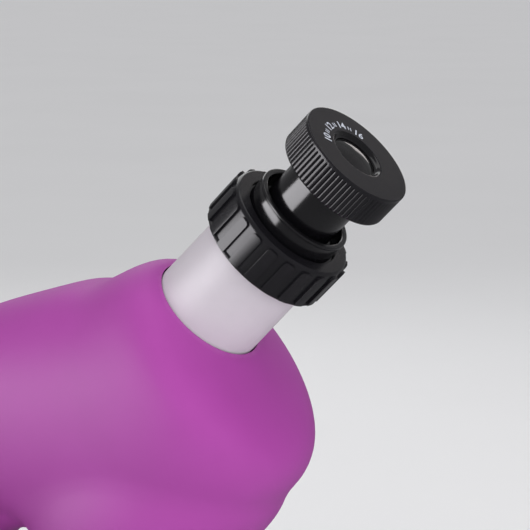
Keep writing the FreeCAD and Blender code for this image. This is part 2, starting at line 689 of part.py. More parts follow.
def door_screw():
    x, y = DOOR_SCREW
    return cyl(2.2, x, y, FOOT_H, FOOT_H + 0.7).fuse(cyl(1.2, x, y, FOOT_H + 0.7, FOOT_H + 4.4))


def rubber_feet():
    one = lathe([(0, 0), (6.4, 0), (7.0, 0.6), (7.6, FOOT_H), (0, FOOT_H)])
    return Part.makeCompound([moved(one, x, y, 0) for x in (-62.0, 22.0) for y in (-41.0, 41.0)])


def battery_holder():
    block = box(-95, -37.6, -26, 26, FOOT_H + 2.4, 18)
    for y in (-16, 0, 16):
        block = block.cut(cyl_x(CELL_R + 0.2, -92.9, -39.6, y, CELL_Z))
        block = block.cut(box(-92.9, -39.6, y - CELL_R - 0.2, y + CELL_R + 0.2, 0, CELL_Z))
    return block.cut(cyl(2.2, DOOR_SCREW[0], DOOR_SCREW[1], 0, 12))


def batteries():
    cells = []
    for y in (-16, 0, 16):
        cells.append(cyl_x(CELL_R, -91.5, -42, y, CELL_Z).fuse(cyl_x(2.75, -42, -41, y, CELL_Z)))
    return Part.makeCompound(cells)


def battery_contacts():
    pads = []
    for y in (-16, 0, 16):
        pads.append(cyl_x(4, -92.9, -91.5, y, CELL_Z))
        pads.append(cyl_x(4, -41, -39.6, y, CELL_Z))
    return Part.makeCompound(pads)


def lamp_housing():
    return lathe([(12.5, 21.6), (14.9, 21.6), (14.9, DECK_Z), (19.0, DECK_Z), (19.4, DECK_Z + 0.5), (19.0, 35.0),
                  (17.0, 36.0), (16.4, 42.2), (15.6, 43.2), (12.6, 43.2), (12.6, 41.0), (11.2, 41.0), (11.2, 40.0),
                  (12.5, 39.0)])


def led_board():
    return cyl(15.0, 0, 0, 20.0, 21.6)


def led():
    return lathe([(0, 21.6), (3.0, 21.6), (3.0, 22.6), (2.5, 22.6), (2.5, 25.0), (2.0, 26.4), (1.1, 27.2), (0, 27.4)])


def collector_lens():
    return dome_lens(12.6, 41.0, 43.2, 0.0, 2.6)


def arm_bolts():
    one = cyl(4.2, 0, 0, 26.0, 29.4).fuse(cyl(2.0, 0, 0, 29.4, 43))
    hexagon = [V(2.2 * math.cos(math.radians(60 * i)), 2.2 * math.sin(math.radians(60 * i)), 25) for i in range(6)]
    one = one.cut(prism(hexagon, V(0, 0, 3)))
    return Part.makeCompound([moved(one, x, y, 0) for x, y in ARM_BOLTS])


def rear_cover_screws():
    out = []
    for z in COVER_SCREW_Z:
        screw = cyl_x(3.0, -101.9, -100.5, 0, z).fuse(cyl_x(1.4, -100.5, -89, 0, z))
        screw = screw.cut(box(-103, -101.2, -0.4, 0.4, z - 4, z + 4))
        out.append(screw)
    return Part.makeCompound(out)


def switch_bezel():
    body = box(SWITCH_X - 8.5, SWITCH_X + 8.5, -7, 7, DECK_Z, DECK_Z + 1.4)
    body = body.makeFillet(1.6, [e for e in body.Edges if abs(e.Length - 1.4) < 0.01])
    body = body.fuse(box(SWITCH_X - 7.2, SWITCH_X + 7.2, -5.8, 5.8, 22, DECK_Z + 0.5))
    body = body.cut(box(SWITCH_X - 6.7, SWITCH_X + 6.7, -4.7, 4.7, 24, 40))
    return body.cut(cyl_y(0.95, -5.6, 5.6, SWITCH_X, DECK_Z))


def power_switch():
    low = [(-6.0, -1.5), (-0.8, -4.0), (0.8, -4.0), (6.0, -1.5), (5.8, 2.6), (5.2, 2.9), (0, 1.5), (-5.2, 2.9),
           (-5.8, 2.6)]
    pts = [V(SWITCH_X + x, -4.3, DECK_Z + z) for x, z in low]
    rocker = prism(pts, V(0, 8.6, 0)).fuse(cyl_y(0.9, -5.4, 5.4, SWITCH_X, DECK_Z))
    return spun(rocker, -7, V(SWITCH_X, 0, DECK_Z), V(0, 1, 0))


def build():
    os.makedirs("parts", exist_ok=True)
    save("arm_casing", arm_casing())
    save("arm_rear_cover", arm_rear_cover())
    save("slide_rail", slide_rail())
    save("stage_carrier", stage_carrier())
    save("focus_rack", focus_rack())
    save("focus_pinion", focus_pinion())
    save("focus_shaft", focus_shaft())
    save("focus_knob_left", focus_knob(1))
    save("focus_knob_right", focus_knob(-1))
    save("shaft_bushings", shaft_bushings())
    save("stage_plate", stage_plate())
    save("stage_screws", stage_screws())
    save("clip_screws", clip_screws())
    save("stage_clip_left", stage_clip(1))
    save("stage_clip_right", stage_clip(-1))
    save("condenser_ring", condenser_ring())
    save("condenser_lens", condenser_lens())
    save("diaphragm_disc", diaphragm_disc())
    save("diaphragm_screw", diaphragm_screw())
    save("nosepiece_base", nosepiece_base())
    save("nosepiece_screws", nosepiece_screws())
    save("turret_screw", turret_screw())
    save("detent_spring", detent_spring())
    save("turret", turret())
    save("objective_4x", objective(101.0, OUTLINE_4X, 4.6, 0))
    save("objective_10x", objective(91.0, OUTLINE_10X, 3.0, 1))
    save("objective_40x", objective(83.5, OUTLINE_40X, 1.5, 2))
    save("band_4x", band(0))
    save("band_10x", band(1))
    save("band_40x", band(2))
    save("objective_lenses", objective_lenses())
    save("prism_holder", prism_holder())
    save("roof_prism", roof_prism())
    save("eyepiece_tube", eyepiece_tube())
    save("tube_screws", tube_screws())
    save("zoom_collar", zoom_collar())
    save("eyepiece_socket", eyepiece_socket())
    save("eyepiece_barrel", eyepiece_barrel())
    save("zoom_pin", zoom_pin())
    save("eyepiece_head", eyepiece_head())
    save("scale_marks", scale_marks())
    save("eye_lens", eye_lens())
    save("lens_retainer", lens_retainer())
    save("field_lens", field_lens())
    save("base_shell", base_shell())
    save("base_bottom_plate", base_bottom_plate())
    save("bottom_screws", Part.makeCompound(bottom_screws().Solids + door_screw().Solids))
    save("battery_door", battery_door())
    save("rubber_feet", rubber_feet())
    save("battery_holder", battery_holder())
    save("batteries", batteries())
    save("battery_contacts", battery_contacts())
    save("lamp_housing", lamp_housing())
    save("led_board", led_board())
    save("led", led())
    save("collector_lens", collector_lens())
    save("arm_bolts", arm_bolts())
    save("rear_cover_screws", rear_cover_screws())
    save("switch_bezel", switch_bezel())
    save("power_switch", power_switch())


build()
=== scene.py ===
"""Student microscope with a zoom eyepiece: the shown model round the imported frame.

Metres, with +Z up and +X to the user. Outlines of turned parts are in millimetres.
"""
import json
from math import atan2, cos, hypot, pi, radians, sin, sqrt

import bpy
from mathutils import Matrix, Vector

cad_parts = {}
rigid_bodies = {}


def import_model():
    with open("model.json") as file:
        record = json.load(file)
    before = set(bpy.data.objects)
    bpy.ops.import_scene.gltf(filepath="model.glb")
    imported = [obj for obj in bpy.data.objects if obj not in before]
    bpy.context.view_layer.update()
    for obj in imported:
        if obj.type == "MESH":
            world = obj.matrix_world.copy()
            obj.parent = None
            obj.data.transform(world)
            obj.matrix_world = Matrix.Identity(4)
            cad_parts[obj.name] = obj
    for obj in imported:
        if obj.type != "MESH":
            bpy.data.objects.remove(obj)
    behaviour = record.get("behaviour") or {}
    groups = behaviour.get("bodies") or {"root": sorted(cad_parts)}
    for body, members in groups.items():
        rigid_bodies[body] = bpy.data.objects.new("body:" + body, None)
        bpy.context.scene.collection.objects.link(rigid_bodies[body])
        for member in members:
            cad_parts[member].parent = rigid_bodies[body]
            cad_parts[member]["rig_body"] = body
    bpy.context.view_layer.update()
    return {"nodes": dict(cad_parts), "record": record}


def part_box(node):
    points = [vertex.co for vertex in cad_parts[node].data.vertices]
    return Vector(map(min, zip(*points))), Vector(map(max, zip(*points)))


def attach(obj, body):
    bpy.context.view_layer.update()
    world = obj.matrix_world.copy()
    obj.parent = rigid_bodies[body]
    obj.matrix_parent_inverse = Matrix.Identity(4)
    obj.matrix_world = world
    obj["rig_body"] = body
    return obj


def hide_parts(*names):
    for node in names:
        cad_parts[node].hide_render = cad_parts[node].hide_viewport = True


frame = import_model()

MM = 0.001
WELD = 0.000002      # corners closer than this become one
NODES = frame["nodes"]
SLOT_OF = {part["node"]: part["material_slot"] for part in frame["record"]["subparts"]}


def middle(node):
    low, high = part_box(node)
    return (low + high) / 2


# ---- places ----------------------------------------------------------------
TUBE_TILT = radians(45)
TURRET_TILT = radians(15)
OPTICAL_X = middle("lamp_housing").x
MOUTH = Vector((OPTICAL_X + 31.8 * MM, 0, 225.8 * MM))
ON_AXIS = Matrix.Translation((OPTICAL_X, 0, 0))
ON_TUBE = Matrix.Translation(MOUTH) @ Matrix.Rotation(TUBE_TILT, 4, "Y")
TURRET_APEX = Vector((OPTICAL_X, 0, 185 * MM))
TURRET_AXIS = Vector((sin(TURRET_TILT), 0, -cos(TURRET_TILT)))
LIT_POINT = Vector((0.045, 0, 0.24))


def objective_place(station):
    """The optical axis, carried round the turret's axis to one of its three stations."""
    turn = Matrix.Rotation(radians(120 * station), 4, TURRET_AXIS)
    return Matrix.Translation(TURRET_APEX) @ turn @ Matrix.Translation(-TURRET_APEX) @ ON_AXIS


# ---- camera, light and floor -------------------------------------------------
def set_camera():
    data = bpy.data.cameras.new("camera")
    data.lens = 129.06
    data.sensor_width = 36
    data.clip_start = 0.01
    camera = bpy.data.objects.new("camera", data)
    camera.location = (0.33578, -0.47756, 0.33060)
    camera.rotation_euler = (radians(80.9), 0, radians(30))
    bpy.context.scene.collection.objects.link(camera)
    bpy.context.scene.camera = camera


def softbox(name, place, width, height, watts, colour=(1, 1, 1), diffuse=True, glossy=True):
    """An area lamp that faces the head of the microscope."""
    data = bpy.data.lights.new(name, "AREA")
    data.shape = "RECTANGLE"
    data.size = width
    data.size_y = height
    data.energy = watts
    data.color = colour
    lamp = bpy.data.objects.new(name, data)
    lamp.location = place
    lamp.rotation_euler = (Vector(place) - LIT_POINT).to_track_quat("Z", "Y").to_euler()
    lamp.visible_camera = False
    lamp.visible_diffuse = diffuse
    lamp.visible_glossy = glossy
    bpy.context.scene.collection.objects.link(lamp)


def set_studio():
    world = bpy.data.worlds.new("studio")
    bpy.context.scene.world = world
    world.use_nodes = True
    back = world.node_tree.nodes["Background"]
    back.inputs["Color"].default_value = (0.95, 0.95, 0.98, 1)
    back.inputs["Strength"].default_value = 0.24
    overhead = bpy.data.lights.new("overhead", "SUN")
    overhead.energy = 1.50
    overhead.angle = radians(80)
    lamp = bpy.data.objects.new("overhead", overhead)
    lamp.rotation_euler = (radians(12), radians(-4), 0)
    lamp.visible_glossy = False
    bpy.context.scene.collection.objects.link(lamp)
    softbox("key_softbox", (-0.47, -0.55, 0.27), 0.66, 0.46, 6.2, (0.98, 0.96, 1.0), diffuse=False)
    softbox("front_softbox", (0.38, -1.08, 0.60), 0.80, 0.60, 5.2, glossy=False)
    softbox("fill_softbox", (1.00, -0.20, 0.45), 0.60, 0.80, 4.0, glossy=False)
    softbox("back_softbox", (-0.60, 0.80, 0.85), 0.70, 0.70, 2.2)
    softbox("rear_softbox", (-0.10, 1.00, 0.54), 0.40, 0.42, 0.62, (1.0, 0.93, 0.91), diffuse=False)
    softbox("top_softbox", (0.10, 0.10, 1.30), 0.80, 0.50, 1.3, diffuse=False)
    bpy.context.scene.view_settings.view_transform = "Standard"


def clear():
    if bpy.context.mode != "OBJECT":
        bpy.ops.object.mode_set(mode="OBJECT")
    bpy.ops.object.select_all(action="DESELECT")


def lay_floor():
    clear()
    bpy.ops.mesh.primitive_plane_add(size=80, location=(0, 0, 0))
    floor = bpy.context.active_object
    floor.name = "floor"
    floor.data.materials.append(PALE_FLOOR)
    floor.visible_glossy = False


# ---- finishes ----------------------------------------------------------------
def finish(name, colour, shade, roughness, spread=0.05, patch=0.03, grain=0.0004, grain_height=0.0,
           stretch=None, metallic=0.0, coat=0.0, coat_roughness=0.1, ior=1.5, wear=None, transmission=0.0,
           anisotropic=0.0):
    """A finish with soft patches of colour, a fine grain in relief and an uneven gloss.

    The patches, grain and grain height are lengths in metres, and wear is the colour of rubbed edges.
    """
    material = bpy.data.materials.new(name)
    material.use_nodes = True
    tree = material.node_tree
    add = tree.nodes.new
    link = tree.links.new
    shader = tree.nodes["Principled BSDF"]
    place = add("ShaderNodeTexCoord").outputs["Object"]
    if stretch:
        mapping = add("ShaderNodeMapping")
        mapping.inputs["Scale"].default_value = stretch[0]
        mapping.inputs["Rotation"].default_value = stretch[1]
        mapping.vector_type = "POINT"
        link(place, mapping.inputs["Vector"])
        fine_place = mapping.outputs["Vector"]
    else:
        fine_place = place
    patches = add("ShaderNodeTexNoise")
    patches.inputs["Scale"].default_value = 1 / patch
    patches.inputs["Detail"].default_value = 4
    patches.inputs["Roughness"].default_value = 0.6
    link(place, patches.inputs["Vector"])
    ramp = add("ShaderNodeValToRGB")
    ramp.color_ramp.elements[0].position = 0.30
    ramp.color_ramp.elements[1].position = 0.70
    ramp.color_ramp.elements[0].color = (*shade, 1)
    ramp.color_ramp.elements[1].color = (*colour, 1)
    link(patches.outputs["Fac"], ramp.inputs["Fac"])
    paint = ramp.outputs["Color"]
    if wear:
        edges = add("ShaderNodeNewGeometry").outputs["Pointiness"]
        rub = add("ShaderNodeTexNoise")
        rub.inputs["Scale"].default_value = 260
        rub.inputs["Detail"].default_value = 3
        link(place, rub.inputs["Vector"])
        found = add("ShaderNodeMapRange")
        found.inputs["From Min"].default_value = 0.53
        found.inputs["From Max"].default_value = 0.62
        found.inputs["To Max"].default_value = 0.55
        link(edges, found.inputs["Value"])
        patchy = add("ShaderNodeMath")
        patchy.operation = "MULTIPLY"
        link(found.outputs["Result"], patchy.inputs[0])
        link(rub.outputs["Fac"], patchy.inputs[1])
        mix = add("ShaderNodeMix")
        mix.data_type = "RGBA"
        mix.inputs[7].default_value = (*wear, 1)
        link(patchy.outputs["Value"], mix.inputs[0])
        link(paint, mix.inputs[6])
        paint = mix.outputs[2]
    link(paint, shader.inputs["Base Color"])
    grit = add("ShaderNodeTexNoise")
    grit.inputs["Scale"].default_value = 1 / grain
    grit.inputs["Detail"].default_value = 3
    link(fine_place, grit.inputs["Vector"])
    gloss = add("ShaderNodeMapRange")
    gloss.inputs["From Min"].default_value = 0.25
    gloss.inputs["From Max"].default_value = 0.75
    gloss.inputs["To Min"].default_value = max(roughness - spread, 0.02)
    gloss.inputs["To Max"].default_value = roughness + spread
    blend = add("ShaderNodeMath")
    blend.operation = "ADD"
    half = add("ShaderNodeMath")
    half.operation = "MULTIPLY"
    half.inputs[1].default_value = 0.5
    link(patches.outputs["Fac"], blend.inputs[0])
    link(grit.outputs["Fac"], blend.inputs[1])
    link(blend.outputs["Value"], half.inputs[0])
    link(half.outputs["Value"], gloss.inputs["Value"])
    link(gloss.outputs["Result"], shader.inputs["Roughness"])
    if grain_height:
        bump = add("ShaderNodeBump")
        bump.inputs["Strength"].default_value = 1.0
        bump.inputs["Distance"].default_value = grain_height
        link(grit.outputs["Fac"], bump.inputs["Height"])
        link(bump.outputs["Normal"], shader.inputs["Normal"])
    shader.inputs["Metallic"].default_value = metallic
    shader.inputs["IOR"].default_value = ior
    shader.inputs["Coat Weight"].default_value = coat
    shader.inputs["Coat Roughness"].default_value = coat_roughness
    shader.inputs["Transmission Weight"].default_value = transmission
    shader.inputs["Anisotropic"].default_value = anisotropic
    return material


# Stretches of the grain, as a scale and a rotation: rings round Z from a lathe, and lines along X.
LATHE_LINES = ((0.02, 0.02, 1.0), (0, 0, 0))
BRUSHED_LINES = ((0.04, 1.0, 1.0), (0, 0, 0))

PURPLE = finish("purple_shell", (0.380, 0.057, 0.342), (0.350, 0.050, 0.312), 0.56, 0.06, 0.05, 0.00045,
                0.000012, wear=(0.48, 0.18, 0.44), ior=1.38)
PURPLE_BASE = finish("purple_base", (0.375, 0.057, 0.338), (0.34, 0.049, 0.305), 0.56, 0.07, 0.05, 0.0005,
                     0.000016, wear=(0.48, 0.18, 0.44), ior=1.38)
TUBE_GREY = finish("tube_grey", (0.60, 0.560, 0.605), (0.56, 0.52, 0.565), 0.48, 0.06, 0.02, 0.00035,
                   0.000008)
GRIP_BLACK = finish("grip_black", (0.008, 0.0075, 0.0095), (0.0055, 0.0051, 0.0067), 0.25, 0.04, 0.012,
                    0.00025, 0.000003, wear=(0.025, 0.0245, 0.027), ior=1.47)
FACE_BLACK = finish("face_black", (0.0085, 0.0082, 0.0105), (0.0065, 0.0062, 0.0082), 0.46, 0.06, 0.010,
                    0.00018, 0.000010, ior=1.36)
GLOSS_BLACK = finish("gloss_black", (0.0045, 0.0043, 0.0052), (0.0035, 0.0033, 0.0042), 0.16, 0.03, 0.015,
                     0.0006, 0.000002, coat=0.35, coat_roughness=0.12, ior=1.47)
BOWL_BLACK = finish("bowl_black", (0.005, 0.0048, 0.0056), (0.004, 0.0038, 0.0046), 0.14, 0.03, 0.004,
                    0.0004, 0.0)
MOULDED_BLACK = finish("moulded_black", (0.019, 0.019, 0.021), (0.013, 0.013, 0.015), 0.42, 0.07, 0.02,
                       0.0004, 0.000014, wear=(0.09, 0.09, 0.095))
PAINTED_BLACK = finish("painted_black", (0.019, 0.019, 0.021), (0.013, 0.013, 0.015), 0.36, 0.06, 0.025,
                       0.0009, 0.000010, coat=0.25, coat_roughness=0.25, wear=(0.22, 0.22, 0.23))
CHROME = finish("turned_chrome", (0.80, 0.80, 0.81), (0.72, 0.72, 0.73), 0.15, 0.05, 0.012, 0.0004,
                0.000003, stretch=LATHE_LINES, metallic=1.0, anisotropic=0.4)
STEEL = finish("brushed_steel", (0.62, 0.62, 0.63), (0.50, 0.50, 0.51), 0.30, 0.07, 0.01, 0.0003,
               0.000004, stretch=BRUSHED_LINES, metallic=1.0)
BRASS = finish("cut_brass", (0.76, 0.60, 0.30), (0.62, 0.46, 0.20), 0.30, 0.06, 0.01, 0.0003, 0.000004,
               metallic=1.0)
WHITE_NYLON = finish("white_nylon", (0.80, 0.80, 0.77), (0.72, 0.72, 0.69), 0.45, 0.05, 0.01, 0.0003,
                     0.000006)
RED_BAND = finish("red_enamel", (0.62, 0.03, 0.03), (0.52, 0.02, 0.02), 0.22, 0.04, 0.005, 0.0006,
                  0.000002, coat=0.4)
YELLOW_BAND = finish("yellow_enamel", (0.80, 0.55, 0.04), (0.70, 0.46, 0.03), 0.22, 0.04, 0.005, 0.0006,
                     0.000002, coat=0.4)
BLUE_BAND = finish("blue_enamel", (0.04, 0.16, 0.60), (0.03, 0.12, 0.50), 0.22, 0.04, 0.005, 0.0006,
                   0.000002, coat=0.4)
WHITE_INK = finish("white_print", (0.60, 0.63, 0.70), (0.50, 0.53, 0.61), 0.55, 0.05, 0.002, 0.0002,
                   0.000004)
DARK_INK = finish("dark_print", (0.03, 0.03, 0.03), (0.02, 0.02, 0.02), 0.50, 0.05, 0.002, 0.0002,
                  0.000004)
RUBBER = finish("soft_rubber", (0.022, 0.022, 0.022), (0.015, 0.015, 0.015), 0.75, 0.08, 0.006, 0.0004,
                0.00003)
CELL_WRAP = finish("cell_wrap", (0.10, 0.30, 0.15), (0.07, 0.24, 0.11), 0.28, 0.05, 0.01, 0.0005,
                   0.000004, coat=0.3)
BOARD_GREEN = finish("board_green", (0.05, 0.22, 0.09), (0.035, 0.17, 0.06), 0.35, 0.05, 0.004, 0.0005,
                     0.00001)
CLEAR_GLASS = finish("clear_glass", (0.96, 0.98, 0.97), (0.94, 0.96, 0.95), 0.03, 0.01, 0.01, 0.001, 0.0,
                     ior=1.52, transmission=1.0)
# The eye lens glass is tinted nearly black: painted shade that stands in for the dark inside of the
# eyepiece seen through the lens.
EYE_GLASS_SHADE_TINTED = finish("eye_glass_shade_tinted", (0.05, 0.046, 0.05), (0.04, 0.037, 0.04), 0.03, 0.01, 0.004, 0.001, 0.0,
                   ior=1.55, transmission=1.0, coat=0.3, coat_roughness=0.03)
FROSTED_GLASS = finish("frosted_lens", (0.95, 0.95, 0.93), (0.90, 0.90, 0.88), 0.38, 0.06, 0.01, 0.0004,
                       0.00002, ior=1.5, transmission=0.75)
PALE_FLOOR = finish("pale_floor", (0.86, 0.86, 0.87), (0.845, 0.845, 0.855), 0.60, 0.04, 0.4, 0.002,
                    0.00002)

FINISH_OF_SLOT = {
    "purple_plastic": PURPLE, "black_plastic": MOULDED_BLACK, "black_gloss": GLOSS_BLACK,
    "grey_tube": TUBE_GREY, "steel": STEEL, "black_metal": PAINTED_BLACK, "glass": CLEAR_GLASS,
    "chrome": CHROME, "brass": BRASS, "white_plastic": WHITE_NYLON, "band_red": RED_BAND,
    "band_yellow": YELLOW_BAND, "band_blue": BLUE_BAND, "white_ink": WHITE_INK, "rubber": RUBBER,
    "battery_label": CELL_WRAP, "board": BOARD_GREEN, "frosted_glass": FROSTED_GLASS,
}


# ---- bench work ----------------------------------------------------------------
def take(piece):
    clear()
    piece.select_set(True)
    bpy.context.view_layer.objects.active = piece


def edit(piece):
    take(piece)
    bpy.ops.object.mode_set(mode="EDIT")


def pick_edges(piece, wanted):
    """Select the edges whose two ends pass the test, leaving edit mode on."""
    bpy.ops.mesh.select_mode(type="EDGE")
    bpy.ops.mesh.select_all(action="DESELECT")
    bpy.ops.object.mode_set(mode="OBJECT")
    mesh = piece.data
    for line in mesh.edges:
        a, b = (mesh.vertices[i].co for i in line.vertices)
        line.select = wanted(a, b)
    bpy.ops.object.mode_set(mode="EDIT")


def apply(piece, kind, **settings):
    take(piece)
    modifier = piece.modifiers.new("work", kind)
    for key, value in settings.items():
        setattr(modifier, key, value)
    bpy.ops.object.modifier_apply(modifier=modifier.name)


def put(piece, place):
    take(piece)
    piece.matrix_world = place
    bpy.ops.object.transform_apply(location=True, rotation=True, scale=True)


def smooth(piece, angle=32, weighted=False):
    take(piece)
    bpy.ops.object.shade_smooth_by_angle(angle=radians(angle))
    if weighted:
        apply(piece, "WEIGHTED_NORMAL", weight=60, keep_sharp=True)


def ease(piece, width, steps=2, angle=30):
    """Take the sharpness off every edge, by a width in millimetres."""
    apply(piece, "BEVEL", width=width * MM, segments=steps, limit_method="ANGLE",
          angle_limit=radians(angle), use_clamp_overlap=True)


def turned(name, outline, steps=96, sweep=360):
    """Turn an outline of (radius, height) in millimetres round the Z axis."""
    clear()
    bpy.ops.mesh.primitive_plane_add(size=MM, location=(0, 0, 0))
    piece = bpy.context.active_object
    piece.name = name
    bpy.ops.object.mode_set(mode="EDIT")
    bpy.ops.mesh.select_mode(type="VERT")
    bpy.ops.mesh.select_all(action="SELECT")
    bpy.ops.mesh.merge(type="CENTER")
    bpy.ops.transform.translate(value=(outline[0][0] * MM, 0, outline[0][1] * MM))
    for (r0, z0), (r1, z1) in zip(outline, outline[1:]):
        step = ((r1 - r0) * MM, 0, (z1 - z0) * MM)
        bpy.ops.mesh.extrude_vertices_move(TRANSFORM_OT_translate={"value": step})
    bpy.ops.mesh.select_all(action="SELECT")
    bpy.ops.mesh.spin(steps=steps, angle=radians(sweep), center=(0, 0, 0), axis=(0, 0, 1))
    if sweep == 360:
        close_up()
    bpy.ops.object.mode_set(mode="OBJECT")
    return piece


def close_up():
    """Join the seam of a turned mesh and point its faces outwards."""
    bpy.ops.mesh.select_all(action="SELECT")
    bpy.ops.mesh.remove_doubles(threshold=WELD)
    bpy.ops.mesh.normals_make_consistent(inside=False)


def merged_copy(name, node):
    """A copy of a frame part with its loose triangles joined up."""
    piece = bpy.data.objects.new(name, NODES[node].data.copy())
    bpy.context.scene.collection.objects.link(piece)
    piece.data.materials.clear()
    edit(piece)
    bpy.ops.mesh.select_all(action="SELECT")
    bpy.ops.mesh.remove_doubles(threshold=WELD)
    bpy.ops.object.mode_set(mode="OBJECT")
    take(piece)
    bpy.ops.mesh.customdata_custom_splitnormals_clear()
    return piece


def joined(pieces, name):
    clear()
    for piece in pieces:
        piece.select_set(True)
    bpy.context.view_layer.objects.active = pieces[0]
    bpy.ops.object.join()
    pieces[0].name = name
    return pieces[0]


def copy_turned(piece, angle):
    """A copy of the piece, with its own mesh, turned round the Z axis."""
    twin = bpy.data.objects.new(piece.name, piece.data.copy())
    bpy.context.scene.collection.objects.link(twin)
    put(twin, Matrix.Rotation(angle, 4, "Z"))
    return twin


def fit(piece, material, *nodes):
    """Give the piece its finish, let it ride with the frame part it stands for, and hide that part."""
    if material is not None:
        piece.data.materials.clear()
        piece.data.materials.append(material)
    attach(piece, NODES[nodes[0]]["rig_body"])
    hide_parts(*nodes)


def second_finish(piece, material, wanted):
    """A second finish on the faces that pass the test."""
    piece.data.materials.append(material)
    for face in piece.data.polygons:
        if wanted(face.center):
            face.material_index = len(piece.data.materials) - 1


# ---- eyepiece --------------------------------------------------------------------
def make_tube():
    tube = turned("eyepiece_tube_body", [
        (14.5, -12), (17.3, -12), (17.3, -6.2), (21.3, -6.2), (21.3, -3.2), (17.5, -3.2), (17.5, 0),
        (17.38, 10), (17.26, 20), (17.15, 29.0), (16.8, 29.6), (14.5, 29.6), (14.5, -12)], 144)
    ease(tube, 0.25)
    smooth(tube, 35, True)
    put(tube, ON_TUBE)
    fit(tube, TUBE_GREY, "eyepiece_tube")


def make_collar():
    """A turned core with a ring of bowed pads on it."""
    pad_count = 21
    core = turned("zoom_collar_grip", [
        (17.49, 29.05), (20.7, 29.05), (21.0, 29.35), (21.0, 29.75), (20.4, 30.2), (20.4, 41.3),
        (20.1, 42.1), (19.5, 42.6), (16.0, 42.6), (15.8, 42.4), (15.8, 41.9), (17.49, 41.9), (17.49, 41.0),
        (18.6, 41.0), (18.6, 30.6), (17.49, 30.6), (17.49, 29.05)], 168)
    ease(core, 0.12)
    clear()
    bpy.ops.mesh.primitive_cube_add(size=1, location=(19.9 * MM, 0, 35.4 * MM),
                                    scale=(2.6 * MM, 3.5 * MM, 12.2 * MM))
    pad = bpy.context.active_object
    bpy.ops.object.transform_apply(location=True, rotation=True, scale=True)
    edit(pad)
    top = 41.4 * MM
    pick_edges(pad, lambda a, b: a.z > top and b.z > top and abs(a.y - b.y) < MM * 0.1)
    bpy.ops.mesh.bevel(offset=1.1 * MM, segments=6, affect="EDGES")
    pick_edges(pad, lambda a, b: abs(a.z - b.z) < MM * 0.01 and a.x > 21 * MM and b.x > 21 * MM
               and min(a.z, b.z) > top)
    bpy.ops.mesh.bevel(offset=0.75 * MM, segments=3, affect="EDGES")
    for cut in (0.9, 0, -0.9):
        bpy.ops.mesh.select_all(action="SELECT")
        bpy.ops.mesh.bisect(plane_co=(0, cut * MM, 0), plane_no=(0, 1, 0))
    bpy.ops.object.mode_set(mode="OBJECT")
    bow = 21.2 * MM      # the radius that the pads' backs follow
    for corner in pad.data.vertices:
        corner.co.x -= bow - sqrt(bow * bow - corner.co.y ** 2)
    ease(pad, 0.16, 2, 40)
    pads = [pad] + [copy_turned(pad, 2 * pi * i / pad_count) for i in range(1, pad_count)]
    collar = joined([core] + pads, "zoom_collar_grip")
    smooth(collar, 40, True)
    put(collar, ON_TUBE)
    fit(collar, GRIP_BLACK, "zoom_collar")


def make_socket():
    socket = turned("eyepiece_socket_ring", [
        (11.65, 18), (14.45, 18), (14.45, 29.6), (17.4, 29.6), (17.4, 41.6), (15.2, 41.6), (15.2, 47.0),
        (15.45, 47.7), (15.4, 48.2), (15.1, 48.4), (14.0, 48.4), (13.7, 48.1), (13.6, 47.5), (13.6, 43.2),
        (13.0, 42.6), (11.65, 42.6), (11.65, 18)], 144)
    ease(socket, 0.12, 2, 25)
    smooth(socket, 40, True)
    put(socket, ON_TUBE)
    fit(socket, GLOSS_BLACK, "eyepiece_socket")


def make_barrel():
    barrel = turned("eyepiece_stem", [
        (10.2, 20), (11.3, 20), (11.6, 20.4), (11.6, 66), (10.2, 66), (10.2, 20)], 144)
    ease(barrel, 0.15, 2, 25)
    smooth(barrel, 40, True)
    put(barrel, ON_TUBE)
    fit(barrel, GLOSS_BLACK, "eyepiece_barrel")


def make_head():
    """One rib of the grip is shaped on a narrow sector, then carried round."""
    ribs = 76
    columns = 14
    outline = [
        (11.6, 61.1), (17.3, 61.1), (17.75, 61.35), (18, 61.8), (18, 62.2), (18, 70.30), (18, 70.50),
        (18, 70.70), (18, 70.88), (18, 71.05), (18, 71.58), (17.95, 71.77), (17.84, 71.88), (17.70, 71.94),
        (17.55, 71.95), (17.35, 71.95), (13, 71.95), (8.95, 71.95), (8.75, 71.95), (8.55, 71.88),
        (8.35, 71.72), (8.05, 71.35), (7.75, 71.0), (7.45, 70.8), (7.15, 70.7), (7.15, 69.6), (9.0, 69.6),
        (9.0, 66), (11.6, 66), (11.6, 61.1)]
    head = turned("eyepiece_head_grip", outline, columns, 360 / ribs)
    sector = 2 * pi / ribs
    grip_r, grip_low, grip_high = 17.95 * MM, 61.7 * MM, 70.9 * MM
    flat_part = 0.22      # the share of a rib's width that stays flat
    groove_deep = 0.55 * MM
    groove_end, run_out = 70.50 * MM, 0.52 * MM
    for corner in head.data.vertices:
        x, y, z = corner.co
        radius = hypot(x, y)
        if radius < grip_r or z > grip_high or z < grip_low:
            continue
        from_crown = 1 - abs(abs(atan2(y, x)) / (sector / 2) - 1)
        toward_groove = max(from_crown - flat_part, 0) / (1 - flat_part)
        rounding = 1 - sqrt(max(1 - toward_groove ** 2, 0))
        rise = max(z - groove_end, 0) / run_out
        depth = groove_deep * rounding * sqrt(max(1 - rise ** 2, 0))
        corner.co.x -= depth * x / radius
        corner.co.y -= depth * y / radius
    edit(head)
    bpy.ops.mesh.select_all(action="SELECT")
    bpy.ops.mesh.spin(steps=ribs, angle=2 * pi, center=(0, 0, 0), axis=(0, 0, 1), dupli=True)
    close_up()
    bpy.ops.object.mode_set(mode="OBJECT")
    smooth(head, 38)
    head.data.materials.clear()
    head.data.materials.append(GRIP_BLACK)
    second_finish(head, FACE_BLACK, lambda c: c.z > 71.9 * MM and 8.6 * MM < hypot(c.x, c.y) < 17.5 * MM)
    second_finish(head, BOWL_BLACK, lambda c: c.z > 68.3 * MM and hypot(c.x, c.y) < 8.75 * MM)
    put(head, ON_TUBE)
    fit(head, None, "eyepiece_head")


